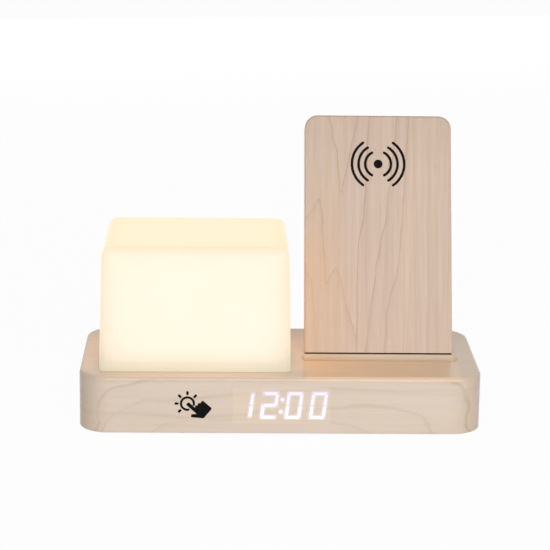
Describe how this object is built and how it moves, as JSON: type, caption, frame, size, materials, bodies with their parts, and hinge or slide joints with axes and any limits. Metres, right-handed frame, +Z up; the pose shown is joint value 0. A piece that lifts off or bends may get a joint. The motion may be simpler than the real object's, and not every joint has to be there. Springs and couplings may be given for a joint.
{
  "type": "digital alarm clock with night light and charging stand",
  "caption": "Wooden desk alarm clock: a low rounded base with a hidden digital display, a white block night light and a leaning panel that holds and charges a phone.",
  "frame": {"origin": "on the table under the middle of the box that the whole clock fills", "axes": "+X to the right along the base, +Y to the back, +Z up; the display and the panel's front face -Y"},
  "size_m": [0.21, 0.0988, 0.1528],
  "materials": {
    "maple_wood": "pale maple, satin lacquer",
    "milk_shade": "translucent milk white, satin, lit warm from inside",
    "white_plastic": "matte white",
    "black_plastic": "fine moulded texture, black",
    "button_plastic": "satin dark grey",
    "module_plastic": "grey face with milky bars",
    "chip_plastic": "black moulding",
    "board_laminate": "green solder mask",
    "board_aluminium": "brushed sheet",
    "light_chip": "yellow lens, warm white light",
    "screw_steel": "zinc plated",
    "plated_steel": "nickel plated",
    "inlet_steel": "drawn bright shell",
    "copper_wire": "enamelled copper",
    "ferrite": "dull dark grey sheet",
    "lead_sleeve": "soft black sleeve",
    "foot_rubber": "matte black rubber"
  },
  "bodies": {
    "base": {"base_housing": "maple_wood", "bottom_cover": "black_plastic", "bottom_screw_front_left": "screw_steel", "bottom_screw_front_right": "screw_steel", "bottom_screw_back_right": "screw_steel", "bottom_screw_back_left": "screw_steel", "foot_front_left": "foot_rubber", "foot_front_right": "foot_rubber", "foot_back_right": "foot_rubber", "foot_back_left": "foot_rubber", "display_module": "module_plastic", "display_board": "board_laminate", "touch_spring": "plated_steel", "display_screw_left": "screw_steel", "display_screw_right": "screw_steel", "main_board": "board_laminate", "clock_chip": "chip_plastic", "buzzer": "chip_plastic", "crystal": "plated_steel", "board_screw_left": "screw_steel", "board_screw_right": "screw_steel", "rear_plate": "black_plastic", "switch_set": "chip_plastic", "switch_up": "chip_plastic", "switch_down": "chip_plastic", "inlet_shell": "inlet_steel", "inlet_tongue": "chip_plastic", "coin_cell": "plated_steel", "cell_contact": "plated_steel", "lamp_shade": "milk_shade", "lamp_seat": "white_plastic", "lamp_led_board": "board_aluminium", "lamp_led_front_left": "light_chip", "lamp_led_front_right": "light_chip", "lamp_led_back_right": "light_chip", "lamp_led_back_left": "light_chip", "led_screw_left": "screw_steel", "led_screw_right": "screw_steel", "lamp_screw_left": "screw_steel", "lamp_screw_right": "screw_steel", "charger_front_panel": "maple_wood", "charger_back_panel": "maple_wood", "charging_coil": "copper_wire", "ferrite_sheet": "ferrite", "charger_board": "board_laminate", "charger_chip": "chip_plastic", "panel_bracket": "plated_steel", "leg_screw_left": "screw_steel", "leg_screw_right": "screw_steel", "bracket_screw_left": "screw_steel", "bracket_screw_right": "screw_steel", "lamp_lead": "lead_sleeve", "charger_lead": "lead_sleeve", "display_ribbon": "white_plastic"},
    "set_button": {"button_set": "button_plastic"},
    "up_button": {"button_up": "button_plastic"},
    "down_button": {"button_down": "button_plastic"},
    "cell_cap": {"battery_cap": "black_plastic"}
  },
  "joints": [
    {"name": "set_press", "type": "slide", "parent": "base", "child": "set_button", "axis": [0, -1, 0], "range_m": [0, 0.0006], "stiffness_N_per_m": 600, "springref_m": -0.001},
    {"name": "up_press", "type": "slide", "parent": "base", "child": "up_button", "axis": [0, -1, 0], "range_m": [0, 0.0006], "stiffness_N_per_m": 600, "springref_m": -0.001},
    {"name": "down_press", "type": "slide", "parent": "base", "child": "down_button", "axis": [0, -1, 0], "range_m": [0, 0.0006], "stiffness_N_per_m": 600, "springref_m": -0.001},
    {"name": "battery_cap_turn", "type": "hinge", "parent": "base", "child": "cell_cap", "pos_m": [-0.06, -0.00194, 0.0026], "axis": [0, 0, 1], "range_deg": [0, 40]}
  ]
}
